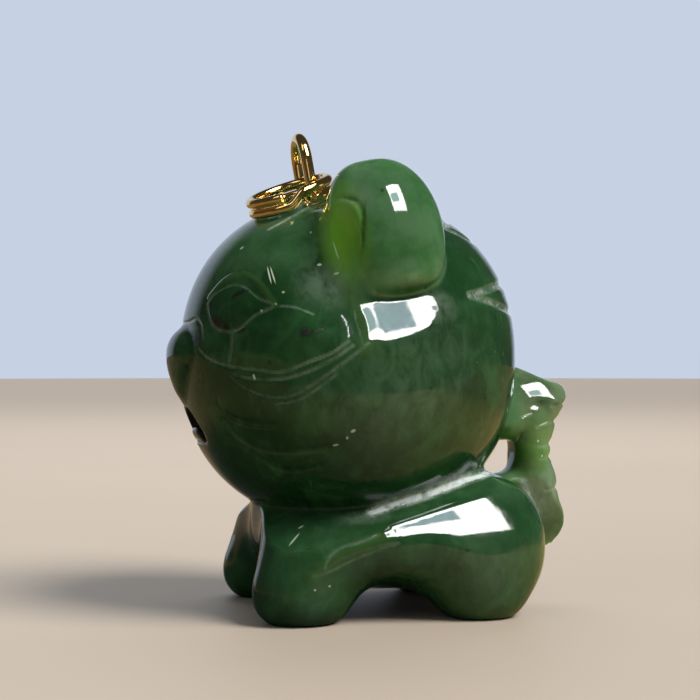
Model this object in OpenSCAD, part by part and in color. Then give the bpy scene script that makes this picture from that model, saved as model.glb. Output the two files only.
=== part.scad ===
// A jade pendant: a big-headed little tiger carved from one piece of green jade.
// It stands on four short feet. A gold eye is set in the top of the head, and a gold
// split ring is threaded through the eye and lies down on the head.
// Millimetres. The tiger looks along -X, its flanks face -Y and +Y, and +Z is up.
// The origin is on the ground, under the middle of the carving.

/* [Head] */
// Place of the head's middle along the body
head_x = -1.13; // [-1.4:0.01:-0.8]
// Height of the head's middle above the ground
head_z = 12.3; // [12.1:0.05:12.4]
// Length of the head from brow to nape
head_l = 16.7; // [16.2:0.1:17]
// Width of the head from cheek to cheek
head_w = 16.4; // [15.6:0.1:17]
// Height of the head from crown to throat
head_h = 16.2; // [16:0.05:16.3]
// How square the head's side outline is, where 2 is an ellipse
head_squareness = 2.25; // [2.2:0.01:2.3]
// Width of the nose
nose_w = 4.6; // [3.6:0.1:5]
// Height of the nose
nose_h = 4; // [3.4:0.1:4.4]
// Width of the open mouth
mouth_w = 3.6; // [2.6:0.1:4.4]
// Height of the open mouth
mouth_h = 1.9; // [1.4:0.1:2.2]
// Depth of the open mouth
mouth_depth = 0.9; // [0.5:0.05:1.3]

/* [Ears] */
// Distance between the middles of the two ears
ear_spread = 11.8; // [11.4:0.1:12.2]
// Height of the ears' tips above the ground
ear_top = 21.75; // [21.4:0.05:22.1]
// Length of an ear along the body
ear_l = 5.3; // [4.8:0.05:5.8]
// Thickness of an ear across the body
ear_w = 4.5; // [4:0.1:5]
// Height of an ear
ear_h = 7.9; // [7.2:0.1:8.4]
// How far the ears lean in at the top, in degrees
ear_lean = 8; // [4:1:12]
// How far the ears lean toward the face at the top, in degrees
ear_rake = 8; // [0:1:12]
// Depth of the hollow in the front of an ear
ear_hollow = 1.5; // [1:0.1:1.8]

/* [Body] */
// Length of the trunk
trunk_l = 12.8; // [12:0.1:13.4]
// Width of the trunk
trunk_w = 10.4; // [9.6:0.1:11]
// Height of the trunk
trunk_h = 6.8; // [6.4:0.1:7.2]
// Clear height under the belly
belly_z = 1.05; // [0.9:0.05:1.4]
// Distance between the left and right feet, middle to middle
stance_w = 9; // [8.4:0.1:9.6]
// Length of a front foot
front_foot_l = 4.7; // [4.2:0.1:5.2]
// Length of a hind foot
hind_foot_l = 4.5; // [4:0.1:5]
// Width of a foot
foot_w = 3.9; // [3.4:0.1:4.3]

/* [Tail] */
// Thickness of the tail across the body
tail_w = 2.7; // [2.2:0.1:3.2]

/* [Gold eye] */
// Thickness of the eye's wire
eye_wire = 0.52; // [0.48:0.01:0.53]
// Outer width of the eye
eye_w = 2.9; // [2.88:0.01:2.95]
// Height of the eye above the stone
eye_h = 3.42; // [3.3:0.02:3.5]
// How far the eye's lower end is sunk in the stone
eye_sunk = 0.46; // [0.44:0.01:0.5]
// How far the eye leans toward the face, in degrees
eye_lean = 10; // [8:1:12]
// How far the eye is turned about its peg, in degrees
eye_turn = 5; // [3:1:6]
// Diameter of the peg that holds the eye in the stone
peg_d = 1.2; // [1:0.05:1.4]
// Length of the peg
peg_l = 4; // [3:0.1:5]

/* [Split ring] */
// Outer diameter of the split ring
ring_d = 4.42; // [4.38:0.02:4.46]
// Thickness of the split ring's wire
ring_wire = 0.48; // [0.44:0.01:0.48]
// How far the ring's left side hangs below its right, in degrees
ring_tilt = 20; // [19:0.5:21]
// How far the ring slopes down toward the near side, in degrees
ring_slope = 8.5; // [8:0.5:9]

/* [Fit] */
// Gap between the peg and the stone
peg_gap = 0.05; // [0.03:0.01:0.08]
// Gap between the two turns of the split ring
turn_gap = 0.03; // [0.02:0.01:0.04]

/* [Smoothness] */
// Facets round the head
head_facets = 48; // [32:4:64]
// Facets round a leg
limb_facets = 28; // [20:4:40]
// Sides of the gold wires
wire_sides = 14; // [10:2:16]

/* [Hidden] */

jade_green = [0.14, 0.30, 0.15];
gold = [0.90, 0.70, 0.28];

// The nose and the mouth, one below the other on the front of the head
nose_tip_x = -10.2;
nose_l = 2.4;
nose_facets = 16;
mouth_facets = 16;
nose_z = head_z - 0.25;
mouth_z = head_z - 3.3;

// The ears
ear_x = -0.55;
ear_z = ear_top - ear_h / 2;
ear_squareness = 2.05;
ear_facets = 30;
// The scoop in an ear: how far it opens outward, its place in the ear, and the rims left
scoop_turn = 24;
scoop_side = 0.45;
scoop_up = 0.35;
scoop_facets = 18;
rim_sides = 0.5;
rim_ends = 1.2;

// The trunk and the four legs
trunk_x = 0.45;
trunk_z = belly_z + trunk_h / 2;
trunk_squareness = 2.6;
trunk_facets = 32;
front_x = -4.35;
hind_x = 4.4;
leg_y = stance_w / 2;
leg_squareness = 2.1;
foot_squareness = 2.4;
shoulder = [4.3, 4.4, 4.4];
shoulder_place = [-3.7, leg_y - 0.75, 4.1];
haunch = [5.9, 5.4, 6];
haunch_place = [4.75, leg_y - 0.6, 3.55];
foot_h = 3.6;
foot_sink = 0.35;

// The tail as rounded lumps: along the body, height, radius
TAIL_X = 0;
TAIL_Z = 1;
TAIL_R = 2;
tail_nape = [7, 9.5, 1.3];
tail_top = [7.2, 10.8, 1.2];
tail_tip = [9.47, 10.42, 0.73];
tail_upper = [8.4, 9.2, 1.2];
tail_waist = [8.35, 7.5, 0.98];
tail_lower = [8.5, 6, 1.2];
tail_heel = [9, 4.2, 1.1];
tail_end = [8.8, 3.35, 0.85];
tail_root = [7.1, 5, 1.5];
// Each stretch of the tail is drawn round the lumps named here
tail_stretches = [
    [tail_nape, tail_top, tail_tip, tail_upper],
    [tail_upper, tail_waist],
    [tail_waist, tail_lower],
    [tail_lower, tail_heel, tail_end, tail_root]
];
tail_squareness = 2.3;
tail_facets = 16;

// The opening between the head, the back and the tail: along the body, height, radius
tail_gap_low = [6.82, 7.17, 0.52];
tail_gap_high = [7.1, 7.85, 0.32];

// The point on the crown where the eye stands, and the eye's own sizes
eye_foot = [-3.1, 0, 20.15];
eye_r = (eye_w - eye_wire) / 2;
eye_high = eye_h - eye_w / 2;
eye_low = eye_w / 2 - eye_sunk;
peg_top = eye_wire / 2 - eye_sunk;
recess_d = 2.4;
recess_depth = 0.6;
recess_h = 2;
peg_end_gap = 0.2;

// The ring's two turns, and the point in the eye about which the ring swings
turn_r = (ring_d - ring_wire) / 2;
turn_h = (ring_wire + turn_gap) / 2;
pivot_h = 0.78;
pivot_y = 0.03;
pivot = eye_foot + [-pivot_h * sin(eye_lean), pivot_y, pivot_h * cos(eye_lean)];
// Angles round the ring, where 270 is its near side: the stretch inside the eye and how
// far it has slid through, the cut end of the upper turn, where the wire crosses down, and
// the cut end of the lower turn
eye_angle = 58;
ring_slide = 0.22;
upper_end = 248;
cross_from = -77;
cross_to = -109;
lower_end = -433;
ring_step = 7.5;

// Signed power, for outlines that are squarer than an ellipse
function spow(v, e) = sign(v) * pow(abs(v), e);

// The same direction with a length of one
function unit(v) = v / norm(v);

// Half the outline of a blunt form one unit high and wide, from the bottom up
function half_outline(squareness, facets) = [
    for (i = [0 : facets / 2])
        let (v = -90 + 360 * i / facets)
        [spow(cos(v), 2 / squareness) / 2, spow(sin(v), 2 / squareness) / 2]
];

// A blunt closed form of a given size, turned about its upright axis
module boulder(size, squareness = 2, facets = limb_facets) {
    scale(size)
        rotate_extrude($fn = facets)
            polygon(half_outline(squareness, facets));
}

// A round wire along a list of places, each with the two directions across it
PLACE = 0;
ACROSS = 1;
UPRIGHT = 2;
module wire(stations, thickness) {
    n = len(stations);
    points = [
        for (s = stations, k = [0 : wire_sides - 1])
            let (a = 360 * k / wire_sides)
            s[PLACE] + thickness / 2 * (cos(a) * s[ACROSS] + sin(a) * s[UPRIGHT])
    ];
    function at(i, k) = i * wire_sides + k % wire_sides;
    walls = [
        for (i = [0 : n - 2], k = [0 : wire_sides - 1])
            each [
                [at(i, k), at(i + 1, k), at(i + 1, k + 1)],
                [at(i, k), at(i + 1, k + 1), at(i, k + 1)]
            ]
    ];
    first = [for (k = [0 : wire_sides - 1]) at(0, k)];
    last = [for (k = [wire_sides - 1 : -1 : 0]) at(n - 1, k)];
    polyhedron(points = points, faces = concat([first, last], walls), convexity = 6);
}

// The same thing on both sides of the tiger
module both_sides() {
    children();
    mirror([0, 1, 0]) children();
}

module head() {
    translate([head_x, 0, head_z])
        boulder([head_l, head_w, head_h], head_squareness, head_facets);
    translate([nose_tip_x + nose_l / 2, 0, nose_z])
        boulder([nose_l, nose_w, nose_h], 2, nose_facets);
}

module mouth() {
    front = head_x - head_l / 2;
    translate([front, 0, mouth_z])
        boulder([2 * mouth_depth, mouth_w, mouth_h], 2, mouth_facets);
}

// Moves its children to the middle of the near ear, leaning as it leans
module at_ear() {
    translate([ear_x, -ear_spread / 2, ear_z])
        rotate([-ear_lean, -ear_rake, 0])
            children();
}

// An ear with the scoop in its front, which opens a little outward
module ear() {
    at_ear()
        difference() {
            boulder([ear_l, ear_w, ear_h], ear_squareness, ear_facets);
            translate([-ear_l / 2, -scoop_side, scoop_up])
                rotate([0, 0, scoop_turn])
                    boulder(
                        [2 * ear_hollow, ear_w - 2 * rim_sides, ear_h - 2 * rim_ends],
                        2, scoop_facets
                    );
        }
}

module leg(place, size, foot_x, foot_l) {
    hull() {
        translate([place.x, -place.y, place.z])
            boulder(size, leg_squareness);
        translate([foot_x, -leg_y, foot_h / 2 - foot_sink])
            boulder([foot_l, foot_w, foot_h], foot_squareness);
    }
}

module body() {
    translate([trunk_x, 0, trunk_z])
        boulder([trunk_l, trunk_w, trunk_h], trunk_squareness, trunk_facets);
    both_sides() {
        leg(shoulder_place, shoulder, front_x, front_foot_l);
        leg(haunch_place, haunch, hind_x, hind_foot_l);
    }
}

module tail_lump(lump) {
    translate([lump[TAIL_X], 0, lump[TAIL_Z]])
        boulder([2 * lump[TAIL_R], tail_w, 2 * lump[TAIL_R]], tail_squareness, tail_facets);
}

module tail() {
    for (stretch = tail_stretches)
        hull()
            for (lump = stretch)
                tail_lump(lump);
}

// The opening in front of the tail, through from flank to flank
module tail_gap() {
    hull()
        for (g = [tail_gap_low, tail_gap_high])
            translate([g[TAIL_X], 0, g[TAIL_Z]])
                rotate([90, 0, 0])
                    cylinder(r = g[TAIL_R], h = head_w, center = true, $fn = 24);
}

// Everything below the ground, which leaves four flat soles
module ground() {
    translate([0, 0, -foot_h / 2])
        cube([3 * head_l, 3 * head_w, foot_h], center = true);
}

// Moves its children to the gold eye's foot, upright along its peg
module at_eye() {
    translate(eye_foot)
        rotate([0, -eye_lean, 0])
            rotate([0, 0, eye_turn])
                children();
}

// The drilled hole for the peg, with a wider recess for the eye's sunk end
module peg_hole() {
    at_eye() {
        translate([0, 0, peg_top - peg_l - peg_end_gap])
            cylinder(d = peg_d + 2 * peg_gap, h = peg_l + peg_end_gap, $fn = 24);
        translate([0, 0, -recess_depth])
            cylinder(d = recess_d, h = recess_h, $fn = 24);
    }
}

module jade_carving() {
    color(jade_green)
        difference() {
            union() {
                head();
                both_sides() ear();
                body();
                tail();
            }
            mouth();
            tail_gap();
            peg_hole();
            ground();
        }
}

// Half of the eye's round, open side down
module eye_bow() {
    rotate([90, 0, 90])
        rotate_extrude(angle = 180, $fn = 64)
            translate([eye_r, 0])
                circle(d = eye_wire, $fn = 32);
}

// The gold eye: two bows, two straight sides and the peg
module screw_eye() {
    color(gold)
        at_eye() {
            translate([0, 0, eye_high]) eye_bow();
            translate([0, 0, eye_low]) rotate([180, 0, 0]) eye_bow();
            for (side = [-1, 1])
                translate([0, side * eye_r, eye_low])
                    cylinder(d = eye_wire, h = eye_high - eye_low, $fn = 32);
            translate([0, 0, peg_top - peg_l])
                cylinder(d = peg_d, h = peg_l, $fn = 40);
        }
}

// Height of the split ring's wire at an angle, upper turn, crossing or lower turn
function turn_height(a) =
    a >= cross_from ? turn_h :
    a <= cross_to ? -turn_h :
    turn_h * cos(180 * (cross_from - a) / (cross_from - cross_to));
function ring_place(a) = [turn_r * cos(a), turn_r * sin(a), turn_height(a)];
function ring_station(a) =
    let (
        along = unit(ring_place(a - 1) - ring_place(a + 1)),
        out = [cos(a), sin(a), 0]
    )
    [ring_place(a), out, cross(along, out)];

// Brings the ring from flat about its own middle to where it lies, hung in the eye
module at_pivot() {
    translate(pivot)
        rotate([0, -ring_tilt, 0])
            rotate([ring_slope, 0, 0])
                translate(-turn_r * [cos(eye_angle), sin(eye_angle), 0]
                        - ring_slide * [sin(eye_angle), -cos(eye_angle), 0])
                    children();
}

module split_ring() {
    steps = round((upper_end - lower_end) / ring_step);
    color(gold)
        at_pivot()
            wire([
                for (i = [0 : steps])
                    ring_station(upper_end + (lower_end - upper_end) * i / steps)
            ], ring_wire);
}

jade_carving();
screw_eye();
split_ring();
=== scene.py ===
"""The looks of a little jade tiger pendant with a gold eye and a gold split ring.

The carving is one field of distances in millimetres: the forms of the part's solids, a fuller
waist and broad polished faces. A fine net of faces is drawn round the field, and the carver's lines
are cut into it. The gold pieces are round wires swept along nearly the same paths as the solids.
"""
import math

import bpy
import numpy as np
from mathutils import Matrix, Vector


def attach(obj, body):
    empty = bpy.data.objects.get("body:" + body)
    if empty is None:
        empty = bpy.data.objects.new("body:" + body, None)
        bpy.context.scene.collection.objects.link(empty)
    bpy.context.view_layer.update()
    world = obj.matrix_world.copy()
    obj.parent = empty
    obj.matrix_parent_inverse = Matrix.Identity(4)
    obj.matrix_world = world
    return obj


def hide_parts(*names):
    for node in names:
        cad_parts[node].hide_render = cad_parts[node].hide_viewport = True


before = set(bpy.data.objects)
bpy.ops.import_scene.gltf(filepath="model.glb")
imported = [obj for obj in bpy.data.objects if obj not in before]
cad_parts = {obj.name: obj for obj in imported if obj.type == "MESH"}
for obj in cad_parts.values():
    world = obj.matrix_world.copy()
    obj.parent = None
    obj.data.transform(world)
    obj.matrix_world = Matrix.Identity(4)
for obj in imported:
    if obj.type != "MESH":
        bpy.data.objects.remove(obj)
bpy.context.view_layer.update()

MM = 0.001
# Farther off than any field is asked about, and a distance from which the whole stone is in front
FAR = 5.0
OUTSIDE = 11.0

# Forms of the head: place and size from edge to edge, in millimetres
HEAD_PLACE = np.array((-1.13, 0, 12.3))
HEAD_SIZE = (16.7, 16.4, 16.2)
HEAD_SQUARENESS = 2.25
NOSE_BRIDGE = ((-8.95, 0, 12.55), (2.45, 4.5, 2.9))
NOSE_TIP = ((-8.75, 0, 11.2), (2.0, 2.5, 2.4))
MOUTH = ((-9.2, 0, 9.1), (2.3, 4.7, 1.9))
MOUTH_DROOP = 0.16
TONGUE = ((-8.3, 0, 8.75), (1.3, 3.0, 0.8))

# Forms of an ear: its middle, its lean in and rake forward in degrees, and the scoop in its front
EAR_PLACE = (-0.55, -5.9, 18.0)
EAR_SIZE = (5.3, 4.5, 7.5)
EAR_SQUARENESS = 2.05
EAR_LEAN = 8
EAR_RAKE = 8
EAR_FRONT = ((-1.0, 0.3, 1.3), (3.1, 3.0, 4.7))
# The flattened lower edge of an ear: its height at the middle of the carving, and its rise along it
EAR_FLOOR = 15.35
EAR_FLOOR_RISE = 0.17
SCOOP_PLACE = (-2.75, -1.44, -0.1)
SCOOP_SIZE = (1.9, 2.7, 4.9)
SCOOP_TURN = 34

# Where light comes through the front of an ear, in the ear's frame, and through the tail: middle
# and half sizes, how far it fades out and how much weaker it is in the tail
EAR_GLOW_PLACE = np.array((-2.35, -1.3, 0.5))
EAR_GLOW_HALF = np.array((0.85, 2.2, 2.1))
TAIL_GLOW_PLACE = np.array((8.1, 0, 7.8))
TAIL_GLOW_HALF = np.array((1.4, 2.2, 2.0))
GLOW_FADE = 1.45
TAIL_GLOW_SHARE = 0.4

# Forms of the trunk, and of the waist between the legs, which is fuller than the part's
TRUNK = ((0.45, 0, 4.45), (12.8, 10.4, 6.8))
TRUNK_SQUARENESS = 2.6
FLANKS = ((0.85, 0, 4.15), (11.7, 13.4, 5.4))
FLANKS_SQUARENESS = 2.9

# Broad polished faces below each ear, along each flank and the neck, and on top of the tail: middle,
# the way it faces (turn and height angle), how it is rolled, and its roundness along and across
EAR_FACE = ((-0.38, -7.62, 14.41), 0, 24.3, 0, 20.5, 20)
FLANK_FACE = ((2.0, -6.35, 4.9), -1, 27, 4, 36, 11)
NECK_BEVEL = ((2.1, -6.12, 5.38), -11, 50, 20, 40, 9)
TAIL_FACE = ((8.62, -1.19, 10.7), -3, 27, -8, 6, 4.5)

# Forms of the legs, which swell from a shoulder or haunch to a foot
SHOULDER = ((-3.7, -3.75, 4.1), (4.3, 4.4, 4.4))
FRONT_FOOT = ((-4.35, -4.5, 1.45), (4.7, 3.9, 3.6))
HAUNCH = ((4.75, -3.9, 3.35), (5.9, 5.4, 5.9))
HIND_FOOT = ((4.4, -4.5, 1.45), (4.5, 3.9, 3.6))
LEG_SQUARENESS = 2.25

# The tail's lumps: along the body, height, radius; and which of them each stretch joins
TAIL_WIDTH = 2.7
TAIL_SQUARENESS = 2.3
TAIL_LUMPS = {
    "nape": (7, 9.5, 1.3), "top": (7.2, 10.8, 1.2), "tip": (9.47, 10.42, 0.73), "upper": (8.4, 9.2, 1.2),
    "waist": (8.35, 7.5, 0.98), "lower": (8.5, 6, 1.2), "heel": (9, 4.2, 1.1), "end": (8.8, 3.35, 0.85),
    "root": (7.1, 5, 1.5),
}
TAIL_STRETCHES = (
    ("top", "tip"), ("tip", "upper"), ("nape", "upper"), ("upper", "waist"), ("waist", "lower"),
    ("lower", "heel"), ("heel", "end"), ("root", "lower"), ("root", "heel"),
)
TAIL_GAP = ((6.82, 7.17, 0.52), (7.1, 7.85, 0.32))
TAIL_NOTCHES = (
    (10.14, 10.1, 0.17), (9.74, 9.18, 0.2), (9.46, 8.07, 0.17), (9.42, 7.42, 0.18), (9.83, 5.85, 0.2),
)

# How far the carver's polishing has rounded each meeting of two forms
BLEND_NOSE = 0.25
BLEND_EAR = 0.4
BLEND_BROW = 1.3
BLEND_FRONT = 0.6
BLEND_SCOOP = 0.2
BLEND_FLOOR = 0.7
BLEND_FACE = 0.12
BLEND_LEG = 2.0
BLEND_NECK = 0.35
BLEND_TAIL = 0.15
BLEND_RIM = 0.15
BLEND_NOSE_TIP = 0.9
BLEND_WAIST = 0.6
BLEND_SWEPT = 0.25
BLEND_NOTCH = 0.12
BLEND_TAIL_FACE = 0.05
BLEND_GAP = 0.2
BLEND_TONGUE = 0.1
BLEND_PEG_HOLE = 0.08

# The net of faces: its first step, how finely it is cut near lines (distance) and sharp bends (degrees),
# and the limits of each move of its points onto the stone
NET_STEP = 0.27
NET_LOW = (-10.6, 0, -0.4)
NET_HIGH = (10.6, 8.6, 22.2)
FINE_ROUNDS = ((0.33, 10.0), (0.18, 18.0))
LEAST_STEEP = 0.25
LONGEST_MOVE = 0.15

# Where the stone counts as thin: how deep it is tried, and the half thickness where that ends
THIN_PROBES = (0.6, 1.2, 1.9, 2.7, 3.6)
THIN_BELOW = 0.9
THIN_FADE = 2.3
# The legs and the muzzle look thick and get little of the light painted where the stone is thin, and
# the tail is greyer: where these begin, and how softly
LEG_TOP, LEG_TOP_FADE = 7.2, 1.6
LEG_BACK, LEG_BACK_FADE = 7.6, 0.8
MUZZLE_BACK, MUZZLE_FADE = -7.4, 0.9
TAIL_FRONT, TAIL_FRONT_FADE = 7.2, 0.6
TAIL_SIDE, TAIL_SIDE_FADE = 1.7, 0.3
THICK_SHARE = 0.85
# How far in from the mouth's rim its inside is darkened, as painted shade
MOUTH_RIM = 0.08

# The gold eye and ring, in the part's sizes. Only the eye's turn and wire differ from the part's, so
# that its two strands touch in the picture
EYE_FOOT = np.array((-3.1, 0, 20.15))
EYE_LEAN = 10
EYE_TURN = 0.0
EYE_WIRE = 0.56
EYE_R = 1.19
EYE_HIGH = 1.97
EYE_LOW = 0.99
PEG_TOP = -0.2
PEG_D = 1.2
PEG_L = 4
PEG_GAP = 0.05
PEG_END_GAP = 0.2
RECESS_D = 2.4
RECESS_DEPTH = 0.6
PIVOT_H = 0.78
PIVOT_Y = 0.03
RING_WIRE = 0.48
TURN_R = 1.97
TURN_H = 0.255
RING_TILT = 20
RING_SLOPE = 8.5
RING_HANG = 58
RING_SLIDE = 0.22
UPPER_END = 248
CROSS_FROM = -77
CROSS_TO = -109
LOWER_END = -433

# The camera: its turn and distance from the mid-plane, height and lens as the photograph was taken
CAMERA_TURN = 13
CAMERA_DISTANCE = 80
CAMERA_HEIGHT = 12.55
CAMERA_AIM_X = -1.0
SENSOR = 36
FRAME_PX = 700
FOCAL_PX = 1600
HORIZON_PX = 355


def scaled(p, form):
    """Points in half sizes from a form's middle, never quite 0, and the half size itself."""
    place, size = form
    half = np.asarray(size, float) / 2
    return np.abs((p - place) / half) + 1e-6, half


def blunt(p, form, squareness=2.0):
    """About the distance to a blunt closed form, round in plan. A form is a place and a size."""
    q, half = scaled(p, form)
    flat = q[..., 0] ** 2 + q[..., 1] ** 2
    total = flat ** (squareness / 2) + q[..., 2] ** squareness
    reach = total ** (1 / squareness)
    share = reach / total
    side = share * flat ** (squareness / 2 - 1)
    slope_x = side * q[..., 0] / half[0]
    slope_y = side * q[..., 1] / half[1]
    slope_z = share * q[..., 2] ** (squareness - 1) / half[2]
    return (reach - 1) / np.sqrt(slope_x ** 2 + slope_y ** 2 + slope_z ** 2)


def loaf(p, form, squareness):
    """About the distance to a form that is blunt in plan too, like a loaf."""
    q, half = scaled(p, form)
    total = (q ** squareness).sum(-1)
    reach = total ** (1 / squareness)
    share = reach / total
    return (reach - 1) / np.sqrt(((share[..., None] * q ** (squareness - 1) / half) ** 2).sum(-1))


def join(a, b, blend):
    """Both forms together, with a fillet about as wide as blend."""
    h = np.clip(1 - np.abs(a - b) / blend, 0, 1)
    return np.minimum(a, b) - h * h * blend / 4


def cut(a, b, blend):
    """The first form without the second, with a rounded rim."""
    return -join(-a, b, blend)


def between(a, b, t):
    """Numbers or places part of the way from those of a to those of b."""
    return tuple(np.asarray(i, float) * (1 - t) + np.asarray(j, float) * t for i, j in zip(a, b))


def swept(p, form_a, form_b, squareness, steps=5):
    """A limb that swells from one form into another."""
    out = blunt(p, form_a, squareness)
    for t in np.linspace(0, 1, steps)[1:]:
        out = join(out, blunt(p, between(form_a, form_b, t), squareness), BLEND_SWEPT)
    return out


def near_side(p):
    """Points brought over to the near flank, because the carving is the same on both sides."""
    q = p.copy()
    q[..., 1] = -np.abs(q[..., 1])
    return q


def spin(a, b, degrees):
    """Two coordinates after a turn of their axes."""
    c, s = math.cos(math.radians(degrees)), math.sin(math.radians(degrees))
    return a * c + b * s, b * c - a * s


def within(p, low, high, field):
    """A field worked out only in a box, and far away outside it."""
    here = ((p > low) & (p < high)).all(-1)
    out = np.full(p.shape[:-1], FAR)
    if here.any():
        out[here] = field(p[here])
    return out


def ear_frame(p):
    """Points as seen from the near ear's middle, upright along the ear."""
    q = near_side(p) - EAR_PLACE
    x, z = spin(q[..., 0], q[..., 2], EAR_RAKE)
    y, z = spin(q[..., 1], z, -EAR_LEAN)
    return np.stack([x, y, z], -1)


def scoop(q):
    """The hollow in the front of an ear, for points in the ear's frame."""
    s = q - SCOOP_PLACE
    x, y = spin(s[..., 0], s[..., 1], SCOOP_TURN)
    return blunt(np.stack([x, y, s[..., 2]], -1), ((0, 0, 0), SCOOP_SIZE))


def beyond(p, face):
    """How far points are outside a broad, slightly round face on both sides of the carving."""
    middle, turn, height, roll, round_along, round_across = face
    q = near_side(p) - middle
    x, y = spin(q[..., 0], q[..., 1], turn)
    out, z = spin(-y, q[..., 2], height)
    along, across = spin(x, z, roll)
    sag = along ** 2 / (2 * round_along) + across ** 2 / (2 * round_across)
    steep = np.sqrt(1 + (along / round_along) ** 2 + (across / round_across) ** 2)
    return (out + sag) / steep


def skull(p):
    """The head without its nose and ears, with the polished face below each ear."""
    d = blunt(p, (HEAD_PLACE, HEAD_SIZE), HEAD_SQUARENESS)
    return cut(d, -beyond(p, EAR_FACE), BLEND_FACE)


def nose(p):
    """The nose: its bridge and its rounded tip."""
    return join(blunt(p, NOSE_BRIDGE), blunt(p, NOSE_TIP), BLEND_NOSE_TIP)


def ear(p):
    """An ear with its full front, its flattened lower edge and its hollow."""
    q = ear_frame(p)
    d = join(blunt(q, ((0, 0, 0), EAR_SIZE), EAR_SQUARENESS), blunt(q, EAR_FRONT), BLEND_FRONT)
    d = cut(d, p[..., 2] - EAR_FLOOR - EAR_FLOOR_RISE * p[..., 0], BLEND_FLOOR)
    return cut(d, scoop(q), BLEND_SCOOP)


def ear_blend(p):
    """The ear runs softly into the brow in front, and meets the head in a crease behind."""
    front = np.clip((EAR_PLACE[0] - 0.9 - p[..., 0]) / 1.2, 0, 1)
    return BLEND_EAR + (BLEND_BROW - BLEND_EAR) * front


def head(p):
    """The head with its nose and ears."""
    d = join(skull(p), within(p, (-12, -4, 8), (-6, 4, 16), nose), BLEND_NOSE)
    return join(d, within(p, (-5.5, -12, 12), (4.5, 12, 23), ear), ear_blend(p))


def tail_lump(name):
    """One of the tail's lumps as a form."""
    x, z, r = TAIL_LUMPS[name]
    return (x, 0, z), (2 * r, TAIL_WIDTH, 2 * r)


def tail(p):
    """The tail as lumps joined in stretches, with its notches and its polished top."""
    out = None
    for first, last in TAIL_STRETCHES:
        d = swept(p, tail_lump(first), tail_lump(last), TAIL_SQUARENESS, 4)
        out = d if out is None else join(out, d, BLEND_SWEPT)
    for notch in TAIL_NOTCHES:
        out = cut(out, through_hole(p, *notch), BLEND_NOTCH)
    return cut(out, -beyond(p, TAIL_FACE), BLEND_TAIL_FACE)


def front_leg(p):
    """A front leg, from shoulder to foot."""
    return swept(near_side(p), SHOULDER, FRONT_FOOT, LEG_SQUARENESS)


def hind_leg(p):
    """A hind leg, from haunch to foot."""
    return swept(near_side(p), HAUNCH, HIND_FOOT, LEG_SQUARENESS)


def body(p):
    """The trunk, the waist and the four legs, with the polished faces on the flank."""
    trunk = join(blunt(p, TRUNK, TRUNK_SQUARENESS), loaf(p, FLANKS, FLANKS_SQUARENESS), BLEND_WAIST)
    front = within(p, (-9, -9, -2), (1, 9, 9), front_leg)
    hind = within(p, (-1, -9, -2), (10, 9, 9), hind_leg)
    d = join(join(trunk, front, BLEND_LEG), hind, BLEND_LEG)
    d = cut(d, -beyond(p, FLANK_FACE), BLEND_FACE)
    return cut(d, -beyond(p, NECK_BEVEL), BLEND_FACE)


def through_hole(p, x, z, r):
    """A round hole through from flank to flank."""
    return np.hypot(p[..., 0] - x, p[..., 2] - z) - r


def tail_gap(p):
    """The small opening between the tail, the back and the head."""
    gap = through_hole(p, *TAIL_GAP[0])
    for t in np.linspace(0, 1, 4)[1:]:
        gap = join(gap, through_hole(p, *between(*TAIL_GAP, t)), BLEND_GAP)
    return gap


def lips(p):
    """The open mouth, whose corners droop, without the tongue."""
    q = p.copy()
    q[..., 2] += MOUTH_DROOP * q[..., 1] ** 2
    return cut(blunt(q, MOUTH), blunt(q, TONGUE), BLEND_TONGUE)


def eye_frame(p):
    """Points as seen from the gold eye's foot, upright along its peg."""
    q = p - EYE_FOOT
    x, z = spin(q[..., 0], q[..., 2], EYE_LEAN)
    return x, q[..., 1], z


def peg_hole(p):
    """The drilled hole for the gold eye's peg and the wider recess for its sunk end."""
    x, y, z = eye_frame(p)
    across = np.hypot(x, y)
    hole = np.maximum(across - PEG_D / 2 - PEG_GAP, PEG_TOP - PEG_L - PEG_END_GAP - z)
    recess = np.maximum(across - RECESS_D / 2, -RECESS_DEPTH - z)
    return np.minimum(hole, recess)


def plain(p):
    """The whole carving before its lines are cut."""
    low_part = within(p, (-12, -10, -3), (12, 10, 10), body)
    high_part = within(p, (-12, -12, 2), (10, 12, 24), head)
    d = join(low_part, high_part, BLEND_NECK)
    d = join(d, within(p, (4.5, -3, 1), (12, 3, 13.5), tail), BLEND_TAIL)
    d = cut(d, within(p, (-12, -4, 6), (-7, 4, 12), lips), BLEND_RIM)
    d = cut(d, within(p, (5, -9, 5.5), (9, 9, 9), tail_gap), 2 * BLEND_RIM)
    d = cut(d, within(p, (-6, -3, 14), (0, 3, 23), peg_hole), BLEND_PEG_HOLE)
    return cut(d, p[..., 2], BLEND_RIM)
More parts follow.
